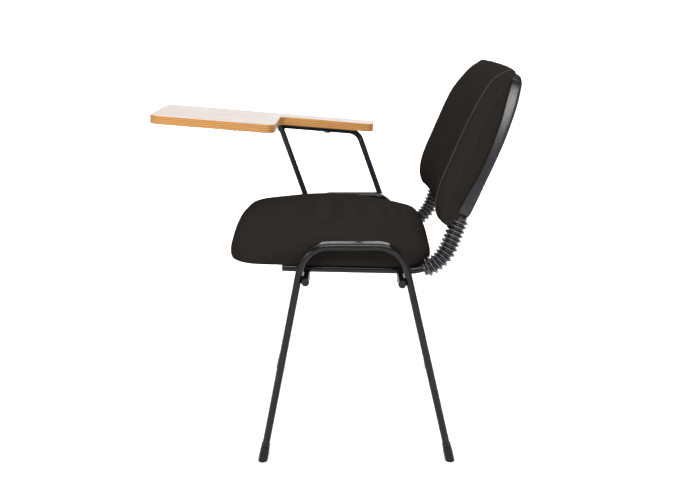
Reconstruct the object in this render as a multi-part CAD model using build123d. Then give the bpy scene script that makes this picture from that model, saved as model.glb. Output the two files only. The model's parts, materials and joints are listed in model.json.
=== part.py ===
from build123d import *
import os
from math import atan, cos, degrees, radians, sin, sqrt, tan

# A stacking conference chair with a writing tablet on the sitter's right.
# Millimetres. +Z is up, -Y is the front of the chair, +X is the sitter's left.
# The chair is drawn about the middle of its four feet. At the end it is moved so that
# the origin lies on the floor under the middle of the whole chair's bounding box.

os.makedirs("parts", exist_ok=True)

SIDES = {"left": 1, "right": -1}

# Side frames: one flat-oval tube each, bent into an upside-down U
FRAME_X = 255.0
OVAL_WIDTH = 30.0
OVAL_THICKNESS = 15.0
OVAL_WALL = 1.5
FRONT_FOOT_Y = -198.0
REAR_FOOT_Y = 197.0
FRONT_LEG_LEAN = 11.3
REAR_LEG_LEAN = 13.1
ARCH_HEIGHT = 466.0
ARCH_BEND_RADIUS = 60.0
TUBE_END_HEIGHT = 6.0

# Plastic ferrules on the feet
FERRULE_WALL = 2.2
FERRULE_LIP_WALL = 1.5
FERRULE_BODY_LENGTH = 20.0
FERRULE_LENGTH = 34.0
FERRULE_FOOT_ROUND = 1.5

# Cross tubes between the side frames
CROSS_DIAMETER = 16.0
CROSS_WALL = 1.5
CROSS_FRONT_HEIGHT = 394.5
CROSS_REAR_HEIGHT = 390.0
CROSS_HALF_LENGTH = 270.0
PLUG_SHANK_LENGTH = 14.0
PLUG_HEAD_THICKNESS = 2.5
PLUG_HEAD_ROUND = 1.8
WELD_RADIUS = 6.0

# Back supports: flat-oval tubes on the cross tubes that turn up behind the seat
SUPPORT_X = 212.0
SUPPORT_FRONT_Y = -150.0
SUPPORT_BEND_RADIUS = 80.0
BACK_LEAN = 20.0
BACK_LINE_Y = 201.0
BACK_LINE_Z = 503.0
SUPPORT_TOP = 150.0

# Corrugated sleeves over the supports
RIDGE_WIDTH = 44.0
RIDGE_DEPTH = 36.0
VALLEY_WIDTH = 36.0
VALLEY_DEPTH = 26.0
SLEEVE_WALL = 1.5
RIDGE_COUNT = 13
SLEEVE_START_ANGLE = 19.0
SLEEVE_COLLAR = 5.0
SLEEVE_CLEARANCE = 1.0
TUBE_CLEARANCE = 1.0

# Seat, heights above the plane on which the back supports rest
SEAT_HALF_WIDTH = 235.0
SEAT_FRONT_Y = -262.0
SEAT_REAR_Y = 156.0
SEAT_FRONT_CORNER = 80.0
SEAT_REAR_CORNER = 75.0
SEAT_TOP = 83.0
SEAT_TOP_ROUND = 28.0
SEAT_LOWER_ROUND = 14.0
SEAT_COVER_THICKNESS = 1.5
SEAT_COVER_INSET = 22.0
SEAT_BOARD_THICKNESS = 12.0
SEAT_BOARD_INSET = 14.0

# Backrest, in a frame that leans with the supports: depth is rearward, height is upward
BACK_HALF_WIDTH = 235.0
BACK_CUSHION_HALF_WIDTH = 233.0
BACK_CORNER = 34.0
BACK_PLAN_RADIUS = 2200.0
BACK_PROFILE_X = 220.0
BACK_BOTTOM = -6.0
BACK_TOP = 320.0
SHELL_BOTTOM = 16.0
SHELL_TOP = 309.0
SHELL_WALL = 3.0
HOLLOW_FRONT = -25.0
BACK_BOARD_THICKNESS = 10.0
BACK_BOARD_REAR = -10.0
BACK_BOARD_BOTTOM = 22.0
BACK_BOARD_TOP = 298.0
BACK_BOARD_HALF_WIDTH = 220.0
BACK_POCKET_GAP = 2.0
BACK_POCKET_CORNER = 24.0
BACK_POCKET_REAR = 80.0
TRIM_SPARE = 5.0
CLIP_RADIUS = 5.0
CLIP_GAP = 0.4
CLIP_PIN_RADIUS = 2.5
CLIP_PIN_LENGTH = 8.0
# Height of each row of clips, and the depth at which it meets the shell's rear wall
CLIP_FEET = {75.0: 13.6, 250.0: 15.8}
CLIP_X = (-130.0, 0.0, 130.0)
BACK_BOLT_HEIGHTS = (60.0, 125.0)

# Fasteners
SEAT_BOLT_RADIUS = 3.0
SEAT_HEAD_RADIUS = 6.0
SEAT_HEAD_THICKNESS = 4.0
SADDLE_RADIUS = 8.0
SADDLE_THICKNESS = 3.0
TEE_BARREL_RADIUS = 4.0
TEE_BARREL_LENGTH = 8.0
TEE_FLANGE_RADIUS = 8.0
TEE_FLANGE_THICKNESS = 1.2
BACK_HEAD_RADIUS = 6.0
BACK_HEAD_THICKNESS = 3.2
ARM_BOLT_RADIUS = 4.0
ARM_HEAD_RADIUS = 6.5
ARM_HEAD_THICKNESS = 5.0
ARM_SPACER_RADIUS = 9.0
ARM_INSERT_LENGTH = 18.0
ARM_PLAY = 0.5

# Writing tablet, drawn flat and then tilted with its front up
TABLET_TILT = 4.7
TABLET_UNDERSIDE_Z = 631.0
TABLET_OUTER_X = -315.0
TABLET_INNER_X = -65.0
TABLET_ARM_INNER_X = -240.0
TABLET_FRONT_Y = -475.0
TABLET_STEP_Y = -186.0
TABLET_REAR_Y = 45.0
TABLET_FRONT_CORNER = 28.0
TABLET_STEP_OUTER_CORNER = 26.0
TABLET_STEP_INNER_CORNER = 18.0
TABLET_REAR_CORNER = 16.0
TABLET_THICKNESS = 19.5
LAMINATE_THICKNESS = 0.8
LIPPING_WIDTH = 3.0
LIPPING_ROUND = 1.2

# Tablet arm: a round tube that runs under the tablet, and a straight front rod
ARM_DIAMETER = 14.0
ARM_WALL = 1.5
ARM_X = -280.5
ARM_REAR_CORNER_Y = 8.0
ARM_REAR_BEND = 34.0
ARM_LOOP_START_Y = -184.0
ARM_LOOP_X = -178.0
ARM_LOOP_Y = -256.0
ARM_END_X = -212.0
ARM_END_Y = -338.0
ARM_LOOP_BENDS = (40.0, 34.0)
ARM_TAIL = 12.0
ARM_PLUG_SHANK_LENGTH = 4.0
ARM_WELD_LENGTH = 11.5
ARM_WELD_RADIUS = 9.0
FRONT_ROD_TOP_X = -273.5
FRONT_ROD_TOP_Y = -187.0
TABLET_SCREW_ON_RUN = -69.0
TABLET_SCREWS_ON_LOOP = (0.44, 0.86)
SCREW_RADIUS = 2.2
SCREW_DEPTH = 12.0
SCREW_HEAD_RADIUS = 5.0
SCREW_HEAD_THICKNESS = 2.6
WASHER_RADIUS = 9.0
WASHER_THICKNESS = 1.4

# Values worked out from the dimensions above
TABLET_COS = cos(radians(TABLET_TILT))
CROSS_RADIUS = CROSS_DIAMETER / 2
OVAL_HALF = OVAL_THICKNESS / 2
ARM_RADIUS = ARM_DIAMETER / 2
LEG_TO_CROSS = OVAL_HALF + CROSS_RADIUS


def front_leg_y(height):
    """Middle of the front legs at this height."""
    return FRONT_FOOT_Y + height * tan(radians(FRONT_LEG_LEAN))


def rear_leg_y(height):
    """Middle of the rear legs at this height."""
    return REAR_FOOT_Y - height * tan(radians(REAR_LEG_LEAN))


CROSS_FRONT_Y = front_leg_y(CROSS_FRONT_HEIGHT) + LEG_TO_CROSS / cos(radians(FRONT_LEG_LEAN))
CROSS_REAR_Y = rear_leg_y(CROSS_REAR_HEIGHT) - LEG_TO_CROSS / cos(radians(REAR_LEG_LEAN))
CROSS_SPAN = CROSS_REAR_Y - CROSS_FRONT_Y
CROSS_MIDDLE_Y = (CROSS_FRONT_Y + CROSS_REAR_Y) / 2
CROSS_MIDDLE_HEIGHT = (CROSS_FRONT_HEIGHT + CROSS_REAR_HEIGHT) / 2
SEAT_TILT = degrees(atan((CROSS_FRONT_HEIGHT - CROSS_REAR_HEIGHT) / CROSS_SPAN))
SEAT_BOLT_Y = CROSS_SPAN / cos(radians(SEAT_TILT)) / 2

# The seat frame lies on top of both cross tubes, with z = 0 on the supports' underside
SEAT_FRAME = Pos(0, CROSS_MIDDLE_Y, CROSS_MIDDLE_HEIGHT) * Rot(X=-SEAT_TILT) * Pos(0, 0, CROSS_RADIUS)
BACK_FRAME = Pos(0, BACK_LINE_Y, BACK_LINE_Z) * Rot(X=-BACK_LEAN)
TABLET_FRAME = Pos(0, 0, TABLET_UNDERSIDE_Z) * Rot(X=-TABLET_TILT)


def oval(width, thickness):
    """A flat-oval section with round ends."""
    return SlotOverall(width, thickness)


def section_plane(path, share):
    """A plane across a path at a share of its length, with its x axis along the chair's X."""
    return Plane(origin=path @ share, x_dir=(1, 0, 0), z_dir=path % share)


def swept(path, section):
    """A section carried square to a path from its start to its end."""
    return sweep(section_plane(path, 0) * section, path=path)


def oval_tube(path):
    """A flat-oval tube, open at both ends."""
    outer = swept(path, oval(OVAL_WIDTH, OVAL_THICKNESS))
    bore = swept(path, oval(OVAL_WIDTH - 2 * OVAL_WALL, OVAL_THICKNESS - 2 * OVAL_WALL))
    return outer - bore


def rod_between(start, end, radius):
    """A round solid rod from one point to another."""
    axis = end - start
    plane = Plane(origin=start, z_dir=axis)
    return extrude(plane * Circle(radius), amount=axis.length)


def disc(frame, x, y, bottom, top, radius):
    """A round solid standing along z in a frame."""
    return frame * Pos(x, y, bottom) * extrude(Circle(radius), amount=top - bottom)


def back_disc(x, height, front, rear, radius):
    """A round solid lying along the depth of the backrest."""
    plane = Plane(origin=(x, front, height), x_dir=(1, 0, 0), z_dir=(0, 1, 0))
    return BACK_FRAME * extrude(plane * Circle(radius), amount=rear - front)


# ---- Side frames, feet and cross tubes ----


def frame_path(x):
    """Up the front leg, back along the top and down the rear leg."""
    bottom = TUBE_END_HEIGHT
    return FilletPolyline(
        (x, front_leg_y(bottom), bottom),
        (x, front_leg_y(ARCH_HEIGHT), ARCH_HEIGHT),
        (x, rear_leg_y(ARCH_HEIGHT), ARCH_HEIGHT),
        (x, rear_leg_y(bottom), bottom),
        radius=ARCH_BEND_RADIUS,
    )


def leg_lean(end):
    return FRONT_LEG_LEAN if end == "front" else REAR_LEG_LEAN


def leg_plane(x, end):
    """A plane at floor level across a leg, looking up along it."""
    if end == "front":
        return Plane(
            origin=(x, FRONT_FOOT_Y, 0),
            x_dir=(1, 0, 0),
            z_dir=(0, sin(radians(FRONT_LEG_LEAN)), cos(radians(FRONT_LEG_LEAN))),
        )
    return Plane(
        origin=(x, REAR_FOOT_Y, 0),
        x_dir=(1, 0, 0),
        z_dir=(0, -sin(radians(REAR_LEG_LEAN)), cos(radians(REAR_LEG_LEAN))),
    )


def leg_core(x, end, start, length, grow=0.0):
    """The oval of a leg, solid, from a distance above the floor."""
    section = oval(OVAL_WIDTH + 2 * grow, OVAL_THICKNESS + 2 * grow)
    return extrude(leg_plane(x, end).offset(start) * section, amount=length)


def foot_ferrule(x, end):
    """A plastic cup on the end of a leg, cut level with the floor."""
    lean = leg_lean(end)
    overrun = 2 * OVAL_THICKNESS
    body = leg_core(x, end, -overrun, FERRULE_BODY_LENGTH + overrun, FERRULE_WALL)
    lip = leg_core(x, end, 0, FERRULE_LENGTH, FERRULE_LIP_WALL)
    tube_start = TUBE_END_HEIGHT / cos(radians(lean))
    seat = leg_core(x, end, tube_start, FERRULE_LENGTH)
    foot_y = FRONT_FOOT_Y if end == "front" else REAR_FOOT_Y
    reach = 4 * OVAL_WIDTH
    below_floor = Pos(x, foot_y, -overrun) * Box(reach, reach, 2 * overrun)
    ferrule = body + lip - seat - below_floor
    sole = ferrule.faces().sort_by(Axis.Z)[0]
    return fillet(sole.outer_wire().edges(), FERRULE_FOOT_ROUND)


def cross_place(end):
    """Height and distance back of a cross tube's axis, as (y, z)."""
    if end == "front":
        return CROSS_FRONT_Y, CROSS_FRONT_HEIGHT
    return CROSS_REAR_Y, CROSS_REAR_HEIGHT


def cross_rod(end, start_x, end_x, radius):
    """A solid rod on the axis of a cross tube."""
    y, z = cross_place(end)
    return rod_between(Vector(start_x, y, z), Vector(end_x, y, z), radius)


def cross_tube(end):
    """A round tube between the side frames, drilled for the two seat bolts."""
    tube = cross_rod(end, -CROSS_HALF_LENGTH, CROSS_HALF_LENGTH, CROSS_RADIUS)
    tube -= cross_rod(end, -CROSS_HALF_LENGTH, CROSS_HALF_LENGTH, CROSS_RADIUS - CROSS_WALL)
    for x in (-SUPPORT_X, SUPPORT_X):
        y = -SEAT_BOLT_Y if end == "front" else SEAT_BOLT_Y
        tube -= disc(SEAT_FRAME, x, y, -2 * CROSS_DIAMETER, CROSS_RADIUS, SEAT_BOLT_RADIUS)
    return tube


def cross_plug(end):
    """The plastic plug in the left end of a cross tube."""
    shank = cross_rod(
        end, CROSS_HALF_LENGTH - PLUG_SHANK_LENGTH, CROSS_HALF_LENGTH, CROSS_RADIUS - CROSS_WALL
    )
    head = cross_rod(end, CROSS_HALF_LENGTH, CROSS_HALF_LENGTH + PLUG_HEAD_THICKNESS, CROSS_RADIUS)
    head = fillet(head.edges().sort_by(Axis.X)[-1], PLUG_HEAD_ROUND)
    return shank + head


def frame_welds():
    """Weld beads in the two grooves where each cross tube touches a leg."""
    beads = []
    for side in SIDES.values():
        for end in ("front", "rear"):
            y, z = cross_place(end)
            lean = leg_lean(end)
            toward_leg = -1 if end == "front" else 1
            touch_y = y + toward_leg * CROSS_RADIUS * cos(radians(lean))
            touch_z = z + CROSS_RADIUS * sin(radians(lean))
            inner_x = side * (FRAME_X - OVAL_WIDTH / 2 + OVAL_HALF)
            outer_x = side * (FRAME_X + OVAL_WIDTH / 2 - OVAL_HALF)
            bead = rod_between(
                Vector(inner_x, touch_y, touch_z), Vector(outer_x, touch_y, touch_z), WELD_RADIUS
            )
            bead -= leg_core(side * FRAME_X, end, 0, ARCH_HEIGHT)
            bead -= cross_rod(end, -CROSS_HALF_LENGTH, CROSS_HALF_LENGTH, CROSS_RADIUS)
            beads += bead.solids()
    return Compound(beads)


# ---- Back supports and their sleeves ----


def support_bend():
    """Start of the support's bend as (y, z), and how far it turns."""
    tilt = radians(SEAT_TILT)
    lean = radians(BACK_LEAN)
    line_height = CROSS_MIDDLE_HEIGHT + LEG_TO_CROSS / cos(tilt)
    run = tan(lean) * (line_height + CROSS_MIDDLE_Y * tan(tilt) - BACK_LINE_Z)
    corner_y = (BACK_LINE_Y + run) / (1 + tan(lean) * tan(tilt))
    corner_z = line_height - (corner_y - CROSS_MIDDLE_Y) * tan(tilt)
    turn = 90 - BACK_LEAN + SEAT_TILT
    tangent_length = SUPPORT_BEND_RADIUS * tan(radians(turn) / 2)
    start_y = corner_y - tangent_length * cos(tilt)
    start_z = corner_z + tangent_length * sin(tilt)
    return start_y, start_z, turn


def on_side(x, drawing):
    """Stand a drawing made in (y, z) in the plane of constant X."""
    return Plane.YZ.offset(x) * drawing


def support_path(x):
    start_y, start_z, turn = support_bend()
    front_z = start_z + (start_y - SUPPORT_FRONT_Y) * tan(radians(SEAT_TILT))
    level = Line((SUPPORT_FRONT_Y, front_z), (start_y, start_z))
    bend = JernArc((start_y, start_z), level % 1, SUPPORT_BEND_RADIUS, turn)
    lean = radians(BACK_LEAN)
    top = (BACK_LINE_Y + SUPPORT_TOP * sin(lean), BACK_LINE_Z + SUPPORT_TOP * cos(lean))
    return on_side(x, Wire([level, bend, Line(bend @ 1, top)]))


def upper_path(x, start_angle, top_height):
    """The support's path from part of the way round its bend to a height in the backrest."""
    start_y, start_z, turn = support_bend()
    tilt = radians(SEAT_TILT)
    whole = JernArc((start_y, start_z), (cos(tilt), -sin(tilt)), SUPPORT_BEND_RADIUS, turn)
    share = (start_angle + SEAT_TILT) / turn
    bend = JernArc(whole @ share, whole % share, SUPPORT_BEND_RADIUS, turn * (1 - share))
    lean = radians(BACK_LEAN)
    top = (BACK_LINE_Y + top_height * sin(lean), BACK_LINE_Z + top_height * cos(lean))
    return on_side(x, Wire([bend, Line(bend @ 1, top)]))


def sleeve_path(x):
    """The part of a support's path that its sleeve covers."""
    return upper_path(x, SLEEVE_START_ANGLE, SHELL_BOTTOM)


def tube_room(path):
    """The room that a support takes up along a path, with a little clearance."""
    width = OVAL_WIDTH + 2 * TUBE_CLEARANCE
    thickness = OVAL_THICKNESS + 2 * TUBE_CLEARANCE
    return swept(path, oval(width, thickness))


def bend_room(x):
    """The room that the bare tube of a support takes up behind the seat."""
    return tube_room(upper_path(x, -SEAT_TILT, SHELL_BOTTOM))


def sleeve_loft(x, shrink):
    """Rings that swap between valley and ridge along the sleeve, joined by straight flanks."""
    path = sleeve_path(x)
    collar_share = SLEEVE_COLLAR / path.length
    pitch_share = (1 - 2 * collar_share) / (2 * RIDGE_COUNT)
    shares = [0] + [collar_share + pitch_share * step for step in range(2 * RIDGE_COUNT + 1)] + [1]
    rings = []
    for number, share in enumerate(shares):
        is_ridge = number % 2 == 0 and 0 < number < len(shares) - 1
        width = RIDGE_WIDTH if is_ridge else VALLEY_WIDTH
        depth = RIDGE_DEPTH if is_ridge else VALLEY_DEPTH
        ring = Ellipse(width / 2 - shrink, depth / 2 - shrink)
        rings.append(section_plane(path, share) * ring)
    return loft(rings, ruled=True)


def bellows(x):
    """A corrugated rubber sleeve, open at both ends."""
    return sleeve_loft(x, 0) - sleeve_loft(x, SLEEVE_WALL)


def sleeve_room(x):
    """The room that a sleeve takes up, with a little clearance."""
    grow = SLEEVE_CLEARANCE
    return swept(sleeve_path(x), Ellipse(RIDGE_WIDTH / 2 + grow, RIDGE_DEPTH / 2 + grow))


def back_support(x):
    """A flat-oval tube drilled for two seat bolts and two back bolts."""
    tube = oval_tube(support_path(x))
    for y in (-SEAT_BOLT_Y, SEAT_BOLT_Y):
        tube -= disc(SEAT_FRAME, x, y, -OVAL_WALL, OVAL_THICKNESS + OVAL_WALL, SEAT_BOLT_RADIUS)
    for height in BACK_BOLT_HEIGHTS:
        tube -= back_disc(x, height, -OVAL_THICKNESS, OVAL_THICKNESS, SEAT_BOLT_RADIUS)
    return tube


def support_plug(x):
    """The plastic plug in the open front end of a back support."""
    plane = section_plane(support_path(x), 0)
    bore = oval(OVAL_WIDTH - 2 * OVAL_WALL, OVAL_THICKNESS - 2 * OVAL_WALL)
    shank = extrude(plane * bore, amount=PLUG_SHANK_LENGTH)
    head = extrude(plane * oval(OVAL_WIDTH, OVAL_THICKNESS), amount=-PLUG_HEAD_THICKNESS)
    rim = head.faces().sort_by(Axis.Y)[0].outer_wire().edges()
    return shank + fillet(rim, PLUG_HEAD_ROUND)


# ---- Seat ----


def seat_outline(inset):
    """The seat's outline in the seat frame, drawn in by an inset."""
    middle_y = (SEAT_FRONT_Y + SEAT_REAR_Y) / 2 - CROSS_MIDDLE_Y
    depth = SEAT_REAR_Y - SEAT_FRONT_Y - 2 * inset
    width = 2 * (SEAT_HALF_WIDTH - inset)
    outline = Pos(0, middle_y) * Rectangle(width, depth)
    outline = fillet(outline.vertices().group_by(Axis.Y)[0], SEAT_FRONT_CORNER - inset)
    return fillet(outline.vertices().group_by(Axis.Y)[-1], SEAT_REAR_CORNER - inset)


def seat_slab(inset, bottom, top):
    """A flat layer of the seat between two heights."""
    return Pos(0, 0, bottom) * extrude(seat_outline(inset), amount=top - bottom)


SEAT_UNDERSIDE = OVAL_THICKNESS
SEAT_BOARD_BOTTOM = SEAT_UNDERSIDE + SEAT_COVER_THICKNESS
SEAT_BOARD_TOP = SEAT_BOARD_BOTTOM + SEAT_BOARD_THICKNESS
SEAT_BOLT_PLACES = [(x, y) for x in (-SUPPORT_X, SUPPORT_X) for y in (-SEAT_BOLT_Y, SEAT_BOLT_Y)]


def seat_cushion():
    """The foam and its cloth, closed round the board and open over the cover and the nuts."""
    nut_top = SEAT_BOARD_TOP + 2 * TEE_FLANGE_THICKNESS
    slab = seat_slab(0, SEAT_UNDERSIDE, SEAT_TOP)
    slab = fillet(slab.faces().sort_by(Axis.Z)[-1].outer_wire().edges(), SEAT_TOP_ROUND)
    slab = fillet(slab.faces().sort_by(Axis.Z)[0].outer_wire().edges(), SEAT_LOWER_ROUND)
    slab -= seat_slab(SEAT_COVER_INSET, SEAT_UNDERSIDE, SEAT_BOARD_BOTTOM)
    slab -= seat_slab(SEAT_BOARD_INSET, SEAT_BOARD_BOTTOM, SEAT_BOARD_TOP)
    slab = SEAT_FRAME * slab
    for x, y in SEAT_BOLT_PLACES:
        slab -= disc(SEAT_FRAME, x, y, SEAT_UNDERSIDE, nut_top, TEE_FLANGE_RADIUS)
    for side in SIDES.values():
        slab -= sleeve_room(side * SUPPORT_X)
        slab -= bend_room(side * SUPPORT_X)
    return slab


def seat_board():
    board = SEAT_FRAME * seat_slab(SEAT_BOARD_INSET, SEAT_BOARD_BOTTOM, SEAT_BOARD_TOP)
    for x, y in SEAT_BOLT_PLACES:
        board -= disc(SEAT_FRAME, x, y, SEAT_BOARD_BOTTOM, SEAT_BOARD_TOP, TEE_BARREL_RADIUS)
    for side in SIDES.values():
        board -= bend_room(side * SUPPORT_X)
    return board


def seat_underside_cover():
    cover = SEAT_FRAME * seat_slab(SEAT_COVER_INSET, SEAT_UNDERSIDE, SEAT_BOARD_BOTTOM)
    for x, y in SEAT_BOLT_PLACES:
        cover -= disc(SEAT_FRAME, x, y, SEAT_UNDERSIDE, SEAT_BOARD_BOTTOM, SEAT_BOLT_RADIUS)
    for side in SIDES.values():
        cover -= bend_room(side * SUPPORT_X)
    return cover


def seat_bolts():
    """Bolts from under the cross tubes up into the seat board."""
    bolts = []
    head_top = -CROSS_DIAMETER - SADDLE_THICKNESS
    head_bottom = head_top - SEAT_HEAD_THICKNESS
    for x, y in SEAT_BOLT_PLACES:
        shank = disc(SEAT_FRAME, x, y, head_top, SEAT_BOARD_TOP, SEAT_BOLT_RADIUS)
        head = disc(SEAT_FRAME, x, y, head_bottom, head_top, SEAT_HEAD_RADIUS)
        bolts += (shank + head).solids()
    return Compound(bolts)


def seat_bolt_saddles():
    """Round pads hollowed to the cross tubes, one under each seat bolt's place."""
    saddles = []
    bottom = -CROSS_DIAMETER - SADDLE_THICKNESS
    top = -CROSS_DIAMETER + SADDLE_THICKNESS
    for x, y in SEAT_BOLT_PLACES:
        end = "front" if y < 0 else "rear"
        saddle = disc(SEAT_FRAME, x, y, bottom, top, SADDLE_RADIUS)
        saddle -= cross_rod(end, x - CROSS_DIAMETER, x + CROSS_DIAMETER, CROSS_RADIUS)
        saddle -= disc(SEAT_FRAME, x, y, bottom, top, SEAT_BOLT_RADIUS)
        saddles += saddle.solids()
    return Compound(saddles)


def seat_tee_nuts():
    """Flanged nuts let into the top of the seat board."""
    nuts = []
    barrel_bottom = SEAT_BOARD_TOP - TEE_BARREL_LENGTH
    flange_top = SEAT_BOARD_TOP + TEE_FLANGE_THICKNESS
    for x, y in SEAT_BOLT_PLACES:
        barrel = disc(SEAT_FRAME, x, y, barrel_bottom, SEAT_BOARD_TOP, TEE_BARREL_RADIUS)
        flange = disc(SEAT_FRAME, x, y, SEAT_BOARD_TOP, flange_top, TEE_FLANGE_RADIUS)
        nut = barrel + flange - disc(SEAT_FRAME, x, y, 0, SEAT_BOARD_TOP, SEAT_BOLT_RADIUS)
        nuts += nut.solids()
    return Compound(nuts)


# ---- Backrest ----

# Side profiles as (depth, height): the line where cushion and shell meet, the cushion's
# front and the shell's rear
RIM_LINE = [
    (0, SHELL_BOTTOM),
    (-2, 60),
    (-2, 120),
    (-4, 190),
    (-8, 245),
    (-12, 285),
    (-8, SHELL_TOP),
]
CUSHION_LINE = [
    (-8, SHELL_TOP),
    (-22, BACK_TOP - 2),
    (-39, 302),
    (-52, 254),
    (-58, 190),
    (-60, 120),
    (-63, 62),
    (-56, 14),
    (-38, -2),
    (-16, BACK_BOTTOM + 1),
    (0, SHELL_BOTTOM),
]
SHELL_LINE = [
    (13, SHELL_BOTTOM),
    (16.5, 40),
    (18, 102),
    (20.5, 200),
    (18.5, 268),
    (11, 300),
    (-8, SHELL_TOP),
]


BACK_BOARD_FRONT = BACK_BOARD_REAR - BACK_BOARD_THICKNESS
BACK_BOLT_PLACES = [(x, height) for x in (-SUPPORT_X, SUPPORT_X) for height in BACK_BOLT_HEIGHTS]


def plan_sag(x):
    """How far the curved backrest comes forward at this distance from its middle."""
    return BACK_PLAN_RADIUS - sqrt(BACK_PLAN_RADIUS**2 - x**2)


def curved_in_plan(face):
    """Turn a (depth, height) profile about an upright axis in front of the backrest."""
    half_angle = degrees(BACK_HALF_WIDTH / BACK_PLAN_RADIUS) + 2
    upright = Axis((0, -BACK_PLAN_RADIUS, 0), (0, 0, 1))
    start = (Plane.YZ * face).rotate(upright, -half_angle)
    solid = revolve(start, axis=upright, revolution_arc=2 * half_angle)
    return Pos(0, plan_sag(BACK_PROFILE_X), 0) * solid


def back_prism(half_width, bottom, top, corner):
    """A deep block with the backrest's rounded front outline."""
    outline = RectangleRounded(2 * half_width, top - bottom, corner)
    plane = Plane(origin=(0, 0, (bottom + top) / 2), x_dir=(1, 0, 0), z_dir=(0, 1, 0))
    return extrude(plane * outline, amount=BACK_HALF_WIDTH, both=True)


def back_slab(front, rear, bottom, top):
    """A layer of the backrest between two depths and two heights."""
    middle = Pos((front + rear) / 2, (bottom + top) / 2)
    return curved_in_plan(middle * Rectangle(rear - front, top - bottom))


def back_cushion():
    """The foam and its cloth, with a pocket behind for the board."""
    front = Spline(*CUSHION_LINE)
    rim = Spline(*RIM_LINE)
    solid = curved_in_plan(make_face(Wire([front, rim])))
    solid &= back_prism(
        BACK_CUSHION_HALF_WIDTH, BACK_BOTTOM - TRIM_SPARE, BACK_TOP + TRIM_SPARE, BACK_CORNER
    )
    pocket_bottom = BACK_BOARD_BOTTOM - BACK_POCKET_GAP
    pocket_top = BACK_BOARD_TOP + BACK_POCKET_GAP
    pocket = back_slab(BACK_BOARD_FRONT, BACK_POCKET_REAR, pocket_bottom, pocket_top)
    pocket &= back_prism(
        BACK_BOARD_HALF_WIDTH + BACK_POCKET_GAP, pocket_bottom, pocket_top, BACK_POCKET_CORNER
    )
    solid = BACK_FRAME * (solid - pocket)
    for side in SIDES.values():
        x = side * SUPPORT_X
        solid -= sleeve_room(x)
        solid -= tube_room(support_path(x))
    nut_front = BACK_BOARD_FRONT - 2 * TEE_FLANGE_THICKNESS
    for x, height in BACK_BOLT_PLACES:
        solid -= back_disc(x, height, nut_front, BACK_BOARD_REAR, TEE_FLANGE_RADIUS)
    return solid


def back_board():
    """A curved plywood board, drilled for the nuts and the clips."""
    board = back_slab(BACK_BOARD_FRONT, BACK_BOARD_REAR, BACK_BOARD_BOTTOM, BACK_BOARD_TOP)
    board &= back_prism(
        BACK_BOARD_HALF_WIDTH, BACK_BOARD_BOTTOM - TRIM_SPARE, BACK_BOARD_TOP + TRIM_SPARE, BACK_CORNER
    )
    board = BACK_FRAME * board
    flange_rear = BACK_BOARD_FRONT + TEE_FLANGE_THICKNESS
    for x, height in BACK_BOLT_PLACES:
        board -= back_disc(x, height, BACK_BOARD_FRONT - 1, flange_rear, TEE_FLANGE_RADIUS)
        board -= back_disc(x, height, flange_rear, OVAL_HALF, TEE_BARREL_RADIUS)
    for x in CLIP_X:
        for height in CLIP_FEET:
            board -= back_disc(x, height, -BACK_HALF_WIDTH, BACK_HALF_WIDTH, CLIP_PIN_RADIUS)
    return board


def shell_face():
    """The shell's profile, solid."""
    rim = Spline(*RIM_LINE)
    foot = Line(RIM_LINE[0], SHELL_LINE[0])
    rear = Spline(*SHELL_LINE)
    return make_face(Wire([rim, foot, rear]))


def hollow_face():
    """The inside of the shell's profile, open towards the cushion."""
    foot_depth = SHELL_LINE[0][0] - SHELL_WALL
    inner_line = [(foot_depth, SHELL_BOTTOM + SHELL_WALL)]
    inner_line += [(depth - SHELL_WALL, height) for depth, height in SHELL_LINE[1:-1]]
    inner_line += [(SHELL_LINE[-1][0], SHELL_TOP - SHELL_WALL)]
    front_bottom = (HOLLOW_FRONT, SHELL_BOTTOM + SHELL_WALL)
    front_top = (HOLLOW_FRONT, SHELL_TOP - SHELL_WALL)
    straight = Polyline(inner_line[-1], front_top, front_bottom, inner_line[0])
    return make_face(Wire([Spline(*inner_line), *straight.edges()]))


def back_shell():
    """A moulded tray that closes the back, with an opening below for each support."""
    bottom = SHELL_BOTTOM - TRIM_SPARE
    top = SHELL_TOP + TRIM_SPARE
    shell = curved_in_plan(shell_face()) & back_prism(BACK_HALF_WIDTH, bottom, top, BACK_CORNER)
    hollow = curved_in_plan(hollow_face())
    hollow &= back_prism(BACK_HALF_WIDTH - SHELL_WALL, bottom, top, BACK_CORNER - SHELL_WALL)
    shell -= hollow
    shell = BACK_FRAME * shell
    for side in SIDES.values():
        shell -= tube_room(support_path(side * SUPPORT_X))
    return shell


def shell_clips():
    """Plastic posts that stand the shell off the board, each with a pin pressed into the board."""
    clips = []
    for x in CLIP_X:
        shift = plan_sag(BACK_PROFILE_X) - plan_sag(x)
        board_rear = BACK_BOARD_REAR + shift
        post_front = board_rear + CLIP_GAP
        for height, foot in CLIP_FEET.items():
            post = back_disc(x, height, post_front, foot + shift, CLIP_RADIUS)
            pin = back_disc(x, height, board_rear - CLIP_PIN_LENGTH, post_front, CLIP_PIN_RADIUS)
            clips += (post + pin).solids()
    return Compound(clips)


def back_bolts():
    """Bolts from behind through the supports into the board."""
    bolts = []
    head_rear = OVAL_HALF + BACK_HEAD_THICKNESS
    for x, height in BACK_BOLT_PLACES:
        shank = back_disc(x, height, BACK_BOARD_FRONT, OVAL_HALF, SEAT_BOLT_RADIUS)
        head = back_disc(x, height, OVAL_HALF, head_rear, BACK_HEAD_RADIUS)
        bolts += (shank + head).solids()
    return Compound(bolts)


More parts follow.
